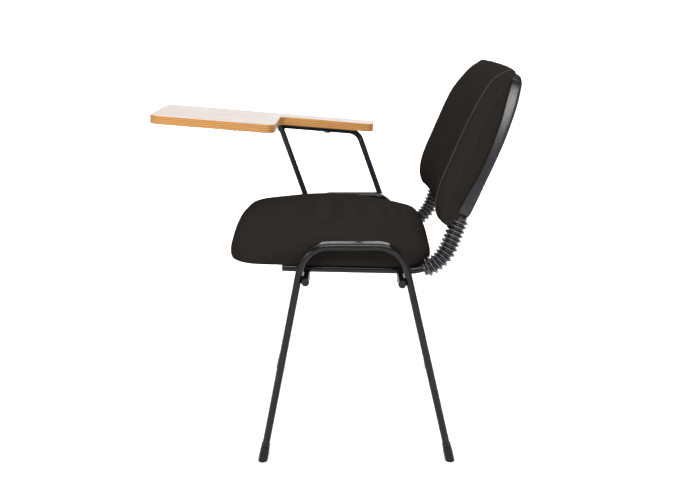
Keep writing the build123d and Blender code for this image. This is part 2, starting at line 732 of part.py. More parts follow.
def back_tee_nuts():
    """Flanged nuts let into the front of the board."""
    nuts = []
    flange_rear = BACK_BOARD_FRONT + TEE_FLANGE_THICKNESS
    barrel_rear = flange_rear + TEE_BARREL_LENGTH
    for x, height in BACK_BOLT_PLACES:
        barrel = back_disc(x, height, flange_rear, barrel_rear, TEE_BARREL_RADIUS)
        flange = back_disc(x, height, BACK_BOARD_FRONT, flange_rear, TEE_FLANGE_RADIUS)
        bore = back_disc(x, height, BACK_BOARD_FRONT - 1, barrel_rear, SEAT_BOLT_RADIUS)
        nuts += (barrel + flange - bore).solids()
    return Compound(nuts)


# ---- Writing tablet ----


def tablet_outline():
    """A wide writing surface that narrows at its left rear to an armrest."""
    points = [
        (TABLET_OUTER_X, TABLET_FRONT_Y),
        (TABLET_INNER_X, TABLET_FRONT_Y),
        (TABLET_INNER_X, TABLET_STEP_Y),
        (TABLET_ARM_INNER_X, TABLET_STEP_Y),
        (TABLET_ARM_INNER_X, TABLET_REAR_Y),
        (TABLET_OUTER_X, TABLET_REAR_Y),
    ]
    radii = [
        TABLET_FRONT_CORNER,
        TABLET_FRONT_CORNER,
        TABLET_STEP_OUTER_CORNER,
        TABLET_STEP_INNER_CORNER,
        TABLET_REAR_CORNER,
        TABLET_REAR_CORNER,
    ]
    return make_face(FilletPolyline(*points, radius=radii, close=True))


def tablet_layer(bottom, top):
    """One flat layer of the tablet inside its edge strip."""
    inside = offset(tablet_outline(), -LIPPING_WIDTH)
    return TABLET_FRAME * Pos(0, 0, bottom) * extrude(inside, amount=top - bottom)


def tablet_lipping():
    """The solid-wood strip glued round the edge."""
    ring = extrude(tablet_outline(), amount=TABLET_THICKNESS)
    rims = ring.faces().sort_by(Axis.Z)
    arrises = rims[0].outer_wire().edges() + rims[-1].outer_wire().edges()
    ring = fillet(arrises, LIPPING_ROUND)
    ring -= extrude(offset(tablet_outline(), -LIPPING_WIDTH), amount=TABLET_THICKNESS)
    return TABLET_FRAME * ring


def tablet_point(x, y, depth):
    """A point in the tablet's plane, a depth below its underside."""
    place = TABLET_FRAME * Pos(x, y, -depth)
    return place.position


def rear_arm_direction():
    """The way the arm's rear upright points."""
    corner = tablet_point(ARM_X, ARM_REAR_CORNER_Y, ARM_RADIUS)
    return (corner - Vector(ARM_X, CROSS_REAR_Y, CROSS_REAR_HEIGHT)).normalized()


def arm_path():
    """Up behind, forward under the armrest and inward under the writing surface."""
    bolt_point = Vector(ARM_X, CROSS_REAR_Y, CROSS_REAR_HEIGHT)
    return FilletPolyline(
        bolt_point - rear_arm_direction() * ARM_TAIL,
        tablet_point(ARM_X, ARM_REAR_CORNER_Y, ARM_RADIUS),
        tablet_point(ARM_X, ARM_LOOP_START_Y, ARM_RADIUS),
        tablet_point(ARM_LOOP_X, ARM_LOOP_Y, ARM_RADIUS),
        tablet_point(ARM_END_X, ARM_END_Y, ARM_RADIUS),
        radius=[ARM_REAR_BEND, *ARM_LOOP_BENDS],
    )


def front_rod_ends():
    """Bottom and top of the front rod, and the way it points."""
    bolt_point = Vector(ARM_X, CROSS_FRONT_Y, CROSS_FRONT_HEIGHT)
    top = tablet_point(FRONT_ROD_TOP_X, FRONT_ROD_TOP_Y, ARM_RADIUS)
    direction = (top - bolt_point).normalized()
    return bolt_point - direction * ARM_TAIL, top, direction


def arm_core():
    return swept(arm_path(), Circle(ARM_RADIUS))


def arm_bolt_hole(end):
    return cross_rod(end, ARM_X - ARM_DIAMETER, ARM_X + ARM_DIAMETER, ARM_BOLT_RADIUS)


def screw_places():
    """Where the tablet's screws go through the arm tube, in the tablet's own x and y."""
    places = [(ARM_X, TABLET_SCREW_ON_RUN)]
    for share in TABLET_SCREWS_ON_LOOP:
        x = ARM_LOOP_X + (ARM_END_X - ARM_LOOP_X) * share
        y = ARM_LOOP_Y + (ARM_END_Y - ARM_LOOP_Y) * share
        places.append((x, y))
    return places


def tablet_arm_tube():
    """The bent round tube, drilled for its bolt and for the tablet's screws."""
    tube = arm_core() - swept(arm_path(), Circle(ARM_RADIUS - ARM_WALL))
    tube -= arm_bolt_hole("rear")
    for x, y in screw_places():
        tube -= disc(TABLET_FRAME, x, y, -2 * ARM_DIAMETER, ARM_WALL, SCREW_RADIUS)
    return tube


def tablet_front_rod():
    """The straight round tube, coped to the tube that it meets."""
    start, top, _ = front_rod_ends()
    rod = rod_between(start, top, ARM_RADIUS) - rod_between(start, top, ARM_RADIUS - ARM_WALL)
    rod -= arm_core()
    rod -= arm_bolt_hole("front")
    return rod.solids().sort_by(SortBy.VOLUME)[-1]


def tablet_arm_weld():
    """The bead round the top of the front rod."""
    start, top, direction = front_rod_ends()
    bead = rod_between(top - direction * ARM_WELD_LENGTH, top, ARM_WELD_RADIUS)
    bead -= rod_between(start, top, ARM_RADIUS)
    bead -= arm_core()
    reach = 4 * ARM_DIAMETER
    place = Pos(FRONT_ROD_TOP_X, FRONT_ROD_TOP_Y, -ARM_RADIUS - reach / 2)
    below_arm = TABLET_FRAME * place * Box(reach, reach, reach)
    return (bead & below_arm).solids().sort_by(SortBy.VOLUME)[-1]


def arm_plug(point, outward):
    """A domed plastic plug in an open end of the arm's tubes."""
    shank = rod_between(point - outward * ARM_PLUG_SHANK_LENGTH, point, ARM_RADIUS - ARM_WALL)
    head = rod_between(point, point + outward * PLUG_HEAD_THICKNESS, ARM_RADIUS)
    end_face = head.faces().sort_by_distance(point + outward * ARM_DIAMETER)[0]
    return shank + fillet(end_face.edges(), PLUG_HEAD_ROUND)


def tablet_arm_plugs():
    """Plugs in both ends of the arm and in the bottom of the front rod."""
    path = arm_path()
    start, _, direction = front_rod_ends()
    plugs = [
        arm_plug(path @ 0, (path % 0) * -1),
        arm_plug(path @ 1, path % 1),
        arm_plug(start, direction * -1),
    ]
    return Compound([solid for plug in plugs for solid in plug.solids()])


def arm_bolts():
    """Shouldered bolts through the rods' lower ends into the cross tubes."""
    bolts = []
    head_x = ARM_X - ARM_RADIUS - ARM_PLAY
    for end in ("front", "rear"):
        shank = cross_rod(end, head_x, ARM_INSERT_LENGTH - CROSS_HALF_LENGTH, ARM_BOLT_RADIUS)
        head = cross_rod(end, head_x - ARM_HEAD_THICKNESS, head_x, ARM_HEAD_RADIUS)
        bolts += (shank + head).solids()
    return Compound(bolts)


def arm_spacers():
    """Rings on the arm's bolts between the rods and the cross tubes."""
    spacers = []
    rod_side = ARM_X + ARM_RADIUS + ARM_PLAY
    for end in ("front", "rear"):
        spacer = cross_rod(end, rod_side, -CROSS_HALF_LENGTH, ARM_SPACER_RADIUS)
        spacer -= cross_rod(end, rod_side, -CROSS_HALF_LENGTH, ARM_BOLT_RADIUS)
        spacers += spacer.solids()
    return Compound(spacers)


def arm_threaded_inserts():
    """Threaded rings in the right ends of the cross tubes."""
    inserts = []
    inner_end = ARM_INSERT_LENGTH - CROSS_HALF_LENGTH
    for end in ("front", "rear"):
        insert = cross_rod(end, -CROSS_HALF_LENGTH, inner_end, CROSS_RADIUS - CROSS_WALL)
        insert -= cross_rod(end, -CROSS_HALF_LENGTH, inner_end, ARM_BOLT_RADIUS)
        inserts += insert.solids()
    return Compound(inserts)


def screw_room():
    """The holes that the tablet's screws cut in its layers."""
    return [disc(TABLET_FRAME, x, y, -1, SCREW_DEPTH, SCREW_RADIUS) for x, y in screw_places()]


def tablet_screws():
    """Pan-head screws up through the arm tube into the tablet."""
    screws = []
    head_top = -ARM_DIAMETER - WASHER_THICKNESS
    head_bottom = head_top - SCREW_HEAD_THICKNESS
    for x, y in screw_places():
        shank = disc(TABLET_FRAME, x, y, head_top, SCREW_DEPTH, SCREW_RADIUS)
        head = disc(TABLET_FRAME, x, y, head_bottom, head_top, SCREW_HEAD_RADIUS)
        screws += (shank + head).solids()
    return Compound(screws)


def tablet_screw_washers():
    """A broad washer under the arm tube for each screw."""
    washers = []
    top = -ARM_DIAMETER
    bottom = top - WASHER_THICKNESS
    for x, y in screw_places():
        washer = disc(TABLET_FRAME, x, y, bottom, top, WASHER_RADIUS)
        washer -= disc(TABLET_FRAME, x, y, bottom, top, SCREW_RADIUS)
        washers += washer.solids()
    return Compound(washers)


def without(solid, cutters):
    for cutter in cutters:
        solid -= cutter
    return solid


# ---- All the nodes ----

nodes = {}
for side_name, side_sign in SIDES.items():
    nodes[f"side_frame_{side_name}"] = oval_tube(frame_path(side_sign * FRAME_X))
    for end_name in ("front", "rear"):
        nodes[f"foot_ferrule_{end_name}_{side_name}"] = foot_ferrule(side_sign * FRAME_X, end_name)
    nodes[f"back_support_{side_name}"] = back_support(side_sign * SUPPORT_X)
    nodes[f"support_plug_{side_name}"] = support_plug(side_sign * SUPPORT_X)
    nodes[f"bellows_{side_name}"] = bellows(side_sign * SUPPORT_X)
for end_name in ("front", "rear"):
    nodes[f"cross_tube_{end_name}"] = cross_tube(end_name)
    nodes[f"cross_tube_plug_{end_name}"] = cross_plug(end_name)
nodes["frame_welds"] = frame_welds()
nodes["seat_cushion"] = seat_cushion()
nodes["seat_board"] = seat_board()
nodes["seat_underside_cover"] = seat_underside_cover()
nodes["seat_bolts"] = seat_bolts()
nodes["seat_bolt_saddles"] = seat_bolt_saddles()
nodes["seat_tee_nuts"] = seat_tee_nuts()
nodes["back_cushion"] = back_cushion()
nodes["back_board"] = back_board()
nodes["back_shell"] = back_shell()
nodes["back_shell_clips"] = shell_clips()
nodes["back_bolts"] = back_bolts()
nodes["back_tee_nuts"] = back_tee_nuts()
screw_holes = screw_room()
core_top = TABLET_THICKNESS - LAMINATE_THICKNESS
nodes["tablet_core"] = without(tablet_layer(LAMINATE_THICKNESS, core_top), screw_holes)
nodes["tablet_top_laminate"] = tablet_layer(core_top, TABLET_THICKNESS)
nodes["tablet_bottom_laminate"] = without(tablet_layer(0, LAMINATE_THICKNESS), screw_holes)
nodes["tablet_edge_lipping"] = tablet_lipping()
nodes["tablet_arm_tube"] = tablet_arm_tube()
nodes["tablet_front_rod"] = tablet_front_rod()
nodes["tablet_arm_weld"] = tablet_arm_weld()
nodes["tablet_arm_plugs"] = tablet_arm_plugs()
nodes["arm_bolts"] = arm_bolts()
nodes["arm_spacers"] = arm_spacers()
nodes["arm_threaded_inserts"] = arm_threaded_inserts()
nodes["tablet_screws"] = tablet_screws()
nodes["tablet_screw_washers"] = tablet_screw_washers()

# Middle of the bounding box: tablet edge to plug head across, tablet front to shell rear along
BOX_MIDDLE_X = (TABLET_OUTER_X + CROSS_HALF_LENGTH + PLUG_HEAD_THICKNESS) / 2
shell_rear_depth, shell_rear_height = SHELL_LINE[-2]
SHELL_REAR_Y = (
    BACK_LINE_Y
    + (shell_rear_depth + plan_sag(BACK_PROFILE_X)) * cos(radians(BACK_LEAN))
    + shell_rear_height * sin(radians(BACK_LEAN))
)
BOX_MIDDLE_Y = (TABLET_FRONT_Y * TABLET_COS + SHELL_REAR_Y) / 2
to_origin = Pos(-BOX_MIDDLE_X, -BOX_MIDDLE_Y, 0)
for node_name, solid in nodes.items():
    export_step(to_origin * solid, f"parts/{node_name}.step")
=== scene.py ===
import json
from math import atan2, cos, pi, radians, sin, sqrt, tan

import bmesh
import bpy
from mathutils import Matrix, Vector
from mathutils.kdtree import KDTree


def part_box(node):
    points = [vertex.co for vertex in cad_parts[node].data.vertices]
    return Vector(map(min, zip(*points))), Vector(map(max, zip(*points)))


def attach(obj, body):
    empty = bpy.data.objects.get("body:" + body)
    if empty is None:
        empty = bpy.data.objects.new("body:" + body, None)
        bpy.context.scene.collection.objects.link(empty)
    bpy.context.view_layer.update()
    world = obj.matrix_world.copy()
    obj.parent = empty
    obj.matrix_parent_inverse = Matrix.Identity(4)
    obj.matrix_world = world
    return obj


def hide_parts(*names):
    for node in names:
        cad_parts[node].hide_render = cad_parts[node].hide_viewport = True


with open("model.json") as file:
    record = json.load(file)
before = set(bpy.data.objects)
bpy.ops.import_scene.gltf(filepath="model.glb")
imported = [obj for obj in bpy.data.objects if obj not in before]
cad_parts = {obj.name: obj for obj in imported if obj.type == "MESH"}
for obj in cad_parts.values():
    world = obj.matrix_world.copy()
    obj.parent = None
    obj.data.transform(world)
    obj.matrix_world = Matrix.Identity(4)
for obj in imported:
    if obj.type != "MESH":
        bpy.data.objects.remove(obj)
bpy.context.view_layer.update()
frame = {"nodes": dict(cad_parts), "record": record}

NODES = frame["nodes"]
BODY = "root"

# ---------------------------------------------------------------- places


def middle(node):
    low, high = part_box(node)
    return Vector([(a + b) / 2 for a, b in zip(low, high)])


FRONT_TUBE = middle("cross_tube_front")
REAR_TUBE = middle("cross_tube_rear")
TUBE_R = 0.008
SEAT_TILT = atan2(FRONT_TUBE.z - REAR_TUBE.z, REAR_TUBE.y - FRONT_TUBE.y)
MID_X = middle("seat_cushion").x
SUPPORT_X = 0.212
BACK_LEAN = radians(20)
BACK_SETBACK = 0.11067
BACK_RISE = 0.113
TABLET_TILT = radians(4.7)

# the seat's own frame: z = 0 where the back supports rest on the cross tubes
SEAT = Matrix.Translation((FRONT_TUBE + REAR_TUBE) / 2)
SEAT.translation.x = MID_X
SEAT = SEAT @ Matrix.Rotation(-SEAT_TILT, 4, "X") @ Matrix.Translation((0, 0, TUBE_R))
SEAT_MID_Y = -0.0462
SEAT_HALF_DEPTH = 0.208
SEAT_HALF_WIDTH = 0.2325
SEAT_BOW = 0.008
SEAT_FRONT_FALL = 0.0186
SEAT_REAR_FALL = 0.0243
SEAT_FRONT_CORNER = 0.0605
SEAT_REAR_CORNER = 0.077
SMALLEST_CORNER = 0.012

# the backrest's own frame: y is depth rearward, z is height up the lean
BACK = Matrix.Translation((MID_X, REAR_TUBE.y + BACK_SETBACK, REAR_TUBE.z + BACK_RISE))
BACK = BACK @ Matrix.Rotation(-BACK_LEAN, 4, "X")
PLAN_R = 2.2
PROFILE_X = 0.22

# ---------------------------------------------------------------- mesh helpers


def obj_from(name, verts, faces):
    mesh = bpy.data.meshes.new(name)
    mesh.from_pydata([tuple(v) for v in verts], [], faces)
    mesh.update()
    bm = bmesh.new()
    bm.from_mesh(mesh)
    bmesh.ops.remove_doubles(bm, verts=bm.verts, dist=1e-6)
    bmesh.ops.recalc_face_normals(bm, faces=bm.faces)
    bm.to_mesh(mesh)
    bm.free()
    for poly in mesh.polygons:
        poly.use_smooth = True
    obj = bpy.data.objects.new(name, mesh)
    bpy.context.scene.collection.objects.link(obj)
    return obj


def bridge(rings, cap=True):
    """Quads between closed rings of equal length; rings are lists of points."""
    verts = [p for ring in rings for p in ring]
    n = len(rings[0])
    faces = []
    for r in range(len(rings) - 1):
        for i in range(n):
            j = (i + 1) % n
            faces.append((r * n + i, r * n + j, (r + 1) * n + j, (r + 1) * n + i))
    if cap:
        faces.append(tuple(range(n - 1, -1, -1)))
        last = (len(rings) - 1) * n
        faces.append(tuple(last + i for i in range(n)))
    return verts, faces


def modifier(obj, kind, **values):
    mod = obj.modifiers.new(kind.lower(), kind)
    for key, value in values.items():
        setattr(mod, key, value)
    return mod


def bake(obj):
    """Turn the modifiers' result into the object's own mesh."""
    deps = bpy.context.evaluated_depsgraph_get()
    mesh = bpy.data.meshes.new_from_object(obj.evaluated_get(deps))
    for mod in list(obj.modifiers):
        obj.modifiers.remove(mod)
    old = obj.data
    obj.data = mesh
    mesh.name = old.name
    for poly in mesh.polygons:
        poly.use_smooth = True
    return obj


def curve_points(control, per_span):
    """A smooth open curve through the control points, as (a, b) pairs."""
    points = []
    count = len(control)
    for i in range(count - 1):
        p0 = control[max(i - 1, 0)]
        p1 = control[i]
        p2 = control[i + 1]
        p3 = control[min(i + 2, count - 1)]
        for step in range(per_span):
            t = step / per_span
            points.append(tuple(
                0.5 * ((2 * b) + (c - a) * t + (2 * a - 5 * b + 4 * c - d) * t * t
                       + (3 * b - a - 3 * c + d) * t ** 3)
                for a, b, c, d in zip(p0, p1, p2, p3)))
    points.append(tuple(control[-1]))
    return points


def value_at(line, height):
    """Depth on a (depth, height) line at a height, the line sorted by rising height."""
    if height <= line[0][1]:
        return line[0][0]
    for (d0, h0), (d1, h1) in zip(line, line[1:]):
        if height <= h1:
            return d0 + (d1 - d0) * (height - h0) / max(h1 - h0, 1e-9)
    return line[-1][0]


def tube_along(name, points, radius, sides):
    """A round tube through 3-D points, closed at both ends."""
    points = [Vector(p) for p in points]
    rings = []
    count = len(points)
    up = Vector((0.123, 0.456, 0.881)).normalized()
    for i, p in enumerate(points):
        ahead = points[min(i + 1, count - 1)]
        behind = points[max(i - 1, 0)]
        t = (ahead - behind).normalized()
        u = t.cross(up).normalized()
        v = t.cross(u)
        rings.append([p + (u * cos(2 * pi * k / sides) + v * sin(2 * pi * k / sides)) * radius
                      for k in range(sides)])
    verts, faces = bridge(rings)
    return obj_from(name, verts, faces)


# ---------------------------------------------------------------- materials


class Nodes:
    """Short names for building a procedural material."""

    def __init__(self, name):
        self.material = bpy.data.materials.new(name)
        self.material.use_nodes = True
        self.tree = self.material.node_tree
        self.shader = self.tree.nodes["Principled BSDF"]
        coords = self.tree.nodes.new("ShaderNodeTexCoord")
        self.place = coords.outputs["Object"]

    def add(self, kind, **inputs):
        node = self.tree.nodes.new(kind)
        for key, value in inputs.items():
            self.put(node, key, value)
        return node

    def put(self, node, key, value):
        socket = node.inputs[int(key[1:])] if key[0] == "_" else node.inputs[key.replace("_", " ")]
        if isinstance(value, bpy.types.NodeSocket):
            self.tree.links.new(value, socket)
        else:
            socket.default_value = value

    def stretched(self, scale, rotation=(0, 0, 0)):
        node = self.add("ShaderNodeMapping", Vector=self.place)
        node.inputs["Scale"].default_value = scale
        node.inputs["Rotation"].default_value = rotation
        return node.outputs["Vector"]

    def noise(self, scale, detail=3.0, rough=0.5, source=None, distortion=0.0):
        node = self.add("ShaderNodeTexNoise", Vector=source or self.place, Scale=scale,
                        Detail=detail, Roughness=rough, Distortion=distortion)
        return node.outputs["Fac"]

    def wave(self, axis, period, distortion=0.0, detail=2.0, source=None, detail_scale=1.0):
        node = self.add("ShaderNodeTexWave", Vector=source or self.place,
                        Scale=2 * pi / (20 * period), Distortion=distortion, Detail=detail)
        node.inputs["Detail Scale"].default_value = detail_scale
        node.bands_direction = axis
        return node.outputs["Fac"]

    def cells(self, scale):
        node = self.add("ShaderNodeTexVoronoi", Vector=self.place, Scale=scale)
        return node.outputs["Distance"]

    def math(self, how, a, b=0.0):
        node = self.tree.nodes.new("ShaderNodeMath")
        node.operation = how
        for index, value in enumerate((a, b)):
            self.put(node, f"_{index}", value)
        return node.outputs[0]

    def ramp(self, fac, stops):
        node = self.add("ShaderNodeValToRGB", Fac=fac)
        band = node.color_ramp
        while len(band.elements) < len(stops):
            band.elements.new(0.5)
        for element, (place, color) in zip(band.elements, stops):
            element.position = place
            if isinstance(color, (int, float)):
                color = (color, color, color)
            element.color = (*color, 1)
        return node.outputs["Color"]

    def mix(self, fac, a, b):
        node = self.tree.nodes.new("ShaderNodeMix")
        node.data_type = "RGBA"
        self.put(node, "_0", fac)
        for index, value in ((6, a), (7, b)):
            if isinstance(value, tuple) and len(value) == 3:
                value = (*value, 1)
            self.put(node, f"_{index}", value)
        return node.outputs[2]

    def bump(self, height, distance, strength=1.0, before=None):
        node = self.add("ShaderNodeBump", Height=height, Distance=distance, Strength=strength)
        if before is not None:
            self.tree.links.new(before, node.inputs["Normal"])
        return node.outputs["Normal"]

    def finish(self, **sockets):
        names = {"color": "Base Color", "rough": "Roughness", "metal": "Metallic", "normal": "Normal",
                 "coat": "Coat Weight", "coat_rough": "Coat Roughness", "specular": "Specular IOR Level",
                 "glow": "Emission Strength"}
        for key, value in sockets.items():
            socket = self.shader.inputs[names[key]]
            if isinstance(value, bpy.types.NodeSocket):
                self.tree.links.new(value, socket)
            elif isinstance(value, tuple):
                socket.default_value = (*value, 1)
            else:
                socket.default_value = value
        return self.material


def upholstery(name, dark, light, period=0.0015):
    """A close crepe weave in near-black brown yarns, with slubs, wear and paler flecks."""
    n = Nodes(name)
    wobble = n.add("ShaderNodeTexNoise", Vector=n.place, Scale=300.0, Detail=2.0)
    shifted = n.tree.nodes.new("ShaderNodeVectorMath")
    shifted.operation = "MULTIPLY_ADD"
    n.put(shifted, "_0", wobble.outputs["Color"])
    n.put(shifted, "_1", (0.0018, 0.0018, 0.0018))
    n.put(shifted, "_2", n.place)
    spot = shifted.outputs["Vector"]
    yarns = n.math("ADD", n.wave("X", period, source=spot), n.wave("Y", period, source=spot))
    yarns = n.math("ADD", yarns, n.wave("Z", period, source=spot))
    yarns = n.math("MULTIPLY", yarns, 1 / 3)
    slubs = n.noise(620.0, 4.0, 0.65)
    cloth = n.math("ADD", n.math("MULTIPLY", yarns, 0.35), n.math("MULTIPLY", slubs, 0.70))
    color = n.ramp(cloth, [(0.25, dark), (0.62, light), (0.85, tuple(c * 1.5 for c in light))])
    wear = n.noise(11.0, 3.0, 0.6)
    color = n.mix(n.math("MULTIPLY", wear, 0.3), color, tuple(c * 1.3 for c in light))
    flecks = n.ramp(n.noise(1400.0, 1.0), [(0.62, 0.0), (0.72, 1.0)])
    color = n.mix(n.math("MULTIPLY", flecks, 0.3), color, (0.045, 0.042, 0.036))
    folds = n.bump(n.noise(26.0, 3.0, 0.5), 0.0012, 0.25)
    normal = n.bump(cloth, 0.0005, 0.75, before=folds)
    rough = n.ramp(slubs, [(0.3, 0.86), (0.7, 0.98)])
    return n.finish(color=color, rough=rough, normal=normal, specular=0.0)


def gloss_paint(name, color, rough=(0.16, 0.28), coat=0.45):
    """Stoved enamel: a faint orange peel, dust nibs and light scuffs."""
    n = Nodes(name)
    peel = n.noise(330.0, 2.0, 0.4)
    nibs = n.ramp(n.cells(180.0), [(0.0, 1.0), (0.1, 0.0)])
    scuffs = n.noise(1.0, 5.0, 0.65, source=n.stretched((60, 60, 14)))
    tone = n.mix(n.noise(24.0, 3.0), color, tuple(c * 1.5 + 0.002 for c in color))
    tone = n.mix(n.math("MULTIPLY", n.ramp(scuffs, [(0.6, 0.0), (0.78, 1.0)]), 0.25), tone,
                 tuple(c * 2.2 + 0.006 for c in color))
    roughness = n.ramp(scuffs, [(0.35, rough[0]), (0.75, rough[1])])
    normal = n.bump(peel, 0.00006, 0.6)
    normal = n.bump(nibs, 0.00008, 0.5, before=normal)
    return n.finish(color=tone, rough=roughness, normal=normal, coat=coat, coat_rough=0.10, specular=0.0)


def moulded_plastic(name, color, rough=(0.38, 0.52), grain=900.0, depth=0.00005, specular=0.45, coat=0.0,
                    coat_rough=0.24):
    """Moulded plastic with a fine spark-eroded grain and faint handling marks."""
    n = Nodes(name)
    spark = n.noise(grain, 3.0, 0.6)
    pits = n.cells(grain * 0.7)
    marks = n.noise(1.0, 4.0, 0.6, source=n.stretched((35, 60, 22), (0.3, 0.2, 0.5)))
    tone = n.mix(n.noise(18.0, 3.0), color, tuple(c * 1.35 + 0.001 for c in color))
    tone = n.mix(n.math("MULTIPLY", n.ramp(marks, [(0.58, 0.0), (0.8, 1.0)]), 0.3), tone,
                 tuple(c * 2.0 + 0.008 for c in color))
    roughness = n.ramp(marks, [(0.3, rough[0]), (0.8, rough[1])])
    normal = n.bump(n.math("ADD", spark, n.math("MULTIPLY", pits, 0.5)), depth, 0.6)
    return n.finish(color=tone, rough=roughness, normal=normal, specular=specular, coat=coat,
                    coat_rough=coat_rough)


def zinc_plate(name):
    """Bright zinc plating, a little blue, with draw lines and dull patches."""
    n = Nodes(name)
    lines = n.noise(1.0, 3.0, 0.6, source=n.stretched((2500, 2500, 300)))
    patches = n.noise(160.0, 4.0, 0.6)
    color = n.ramp(patches, [(0.3, (0.50, 0.52, 0.55)), (0.55, (0.66, 0.66, 0.66)),
                             (0.75, (0.58, 0.55, 0.47))])
    rough = n.ramp(patches, [(0.3, 0.24), (0.7, 0.45)])
    return n.finish(color=color, rough=rough, metal=1.0, normal=n.bump(lines, 0.00003, 0.6))


def oak_strip(name):
    """Solid wood lipping: straight grain along the strip, fine pores and a satin lacquer."""
    n = Nodes(name)
    flat = n.stretched((1, 1, 1), (TABLET_TILT, 0, 0))
    drift = n.noise(7.0, 3.0, 0.5, source=flat)
    bent = n.add("ShaderNodeCombineXYZ", Z=n.math("MULTIPLY", drift, 0.012))
    moved = n.add("ShaderNodeVectorMath", _0=flat, _1=bent.outputs["Vector"])
    moved = moved.outputs["Vector"]
    rings = n.wave("Z", 0.0042, 1.6, 3.0, source=moved, detail_scale=1.4)
    fine = n.noise(1.0, 5.0, 0.7, source=n.stretched((26, 26, 1500), (TABLET_TILT, 0, 0)))
    grain = n.math("ADD", n.math("MULTIPLY", rings, 0.42), n.math("MULTIPLY", fine, 0.62))
    color = n.ramp(grain, [(0.22, (0.21, 0.078, 0.012)), (0.42, (0.37, 0.158, 0.027)),
                           (0.62, (0.53, 0.248, 0.047)), (0.85, (0.63, 0.325, 0.075))])
    shade = n.noise(9.0, 2.0)
    color = n.mix(n.math("MULTIPLY", shade, 0.4), color, (0.40, 0.175, 0.046))
    pores = n.noise(1.0, 2.0, 0.5, source=n.stretched((90, 90, 3200), (TABLET_TILT, 0, 0)))
    pores = n.ramp(pores, [(0.56, 0.0), (0.7, 1.0)])
    color = n.mix(n.math("MULTIPLY", pores, 0.45), color, (0.14, 0.052, 0.014))
    rough = n.ramp(grain, [(0.2, 0.5), (0.8, 0.36)])
    normal = n.bump(n.math("SUBTRACT", grain, n.math("MULTIPLY", pores, 0.6)), 0.00012, 0.6)
    return n.finish(color=color, rough=rough, normal=normal, coat=0.25, coat_rough=0.25)


def laminate(name):
    """Pale wood-print laminate with a fine textured skin and soft wear from writing."""
    n = Nodes(name)
    flat = n.stretched((1, 1, 1), (TABLET_TILT, 0, 0))
    along = n.stretched((150, 9, 40), (TABLET_TILT, 0, 0))
    figure = n.noise(1.0, 5.0, 0.62, source=along, distortion=0.6)
    fine = n.noise(1.0, 3.0, 0.6, source=n.stretched((900, 40, 300), (TABLET_TILT, 0, 0)))
    grain = n.math("ADD", n.math("MULTIPLY", figure, 0.7), n.math("MULTIPLY", fine, 0.3))
    color = n.ramp(grain, [(0.3, (0.29, 0.240, 0.218)), (0.5, (0.36, 0.312, 0.290)),
                           (0.72, (0.40, 0.358, 0.338))])
    wear = n.noise(8.0, 4.0, 0.6, source=flat)
    color = n.mix(n.math("MULTIPLY", wear, 0.3), color, (0.40, 0.362, 0.345))
    skin = n.noise(1600.0, 2.0, 0.5)
    rough = n.ramp(wear, [(0.3, 0.40), (0.75, 0.52)])
    normal = n.bump(n.math("ADD", skin, n.math("MULTIPLY", fine, 0.5)), 0.00003, 0.5)
    return n.finish(color=color, rough=rough, normal=normal, specular=0.08)


def plywood(name):
    """Rotary-cut veneer on the faces, with plies along the edges."""
    n = Nodes(name)
    plies = n.wave("Z", 0.003, 0.6)
    face = n.noise(1.0, 5.0, 0.6, source=n.stretched((12, 120, 12)), distortion=0.8)
    color = n.ramp(face, [(0.3, (0.34, 0.21, 0.11)), (0.6, (0.52, 0.36, 0.21)), (0.8, (0.60, 0.44, 0.28))])
    color = n.mix(n.math("MULTIPLY", plies, 0.35), color, (0.28, 0.16, 0.08))
    return n.finish(color=color, rough=n.ramp(face, [(0.3, 0.55), (0.7, 0.75)]),
                    normal=n.bump(face, 0.0002, 0.5))


def underside_felt(name):
    """Black non-woven dust cover, pressed with a small diamond pattern."""
    n = Nodes(name)
    turned = n.stretched((1, 1, 1), (0, 0, pi / 4))
    pattern = n.math("MULTIPLY", n.wave("X", 0.0022, source=turned), n.wave("Y", 0.0022, source=turned))
    fibres = n.noise(500.0, 6.0, 0.75, distortion=1.5)
    color = n.ramp(fibres, [(0.3, 0.006), (0.7, 0.026)])
    height = n.math("ADD", n.math("MULTIPLY", pattern, 0.8), n.math("MULTIPLY", fibres, 0.4))
    return n.finish(color=color, rough=n.ramp(fibres, [(0.3, 0.8), (0.7, 0.95)]),
                    normal=n.bump(height, 0.0004, 0.8), specular=0.2)


CLOTH = upholstery("seat_cloth", (0.0050, 0.0044, 0.0040), (0.0185, 0.0162, 0.0142))
# Paler cloth for the seam piping: a painted highlight along each seam.
SEAM_CLOTH_PAINTED_HIGHLIGHT = upholstery("seam_cloth_painted_highlight", (0.016, 0.0155, 0.0145), (0.050, 0.048, 0.044), 0.0009)
PAINT = gloss_paint("frame_enamel", (0.0040, 0.0040, 0.0042))
ARM_PAINT = gloss_paint("arm_enamel", (0.010, 0.012, 0.016), rough=(0.24, 0.38), coat=0.35)
CAPS = moulded_plastic("cap_moulding", (0.006, 0.006, 0.0065), specular=0.05, coat=0.35)
FERRULES = moulded_plastic("ferrule_moulding", (0.006, 0.006, 0.0065), rough=(0.42, 0.6), grain=700.0,
                           depth=0.0001, specular=0.05, coat=0.25)
SLEEVES = moulded_plastic("sleeve_moulding", (0.008, 0.008, 0.009), rough=(0.34, 0.48), grain=1100.0,
                          specular=0.05, coat=1.0, coat_rough=0.16)
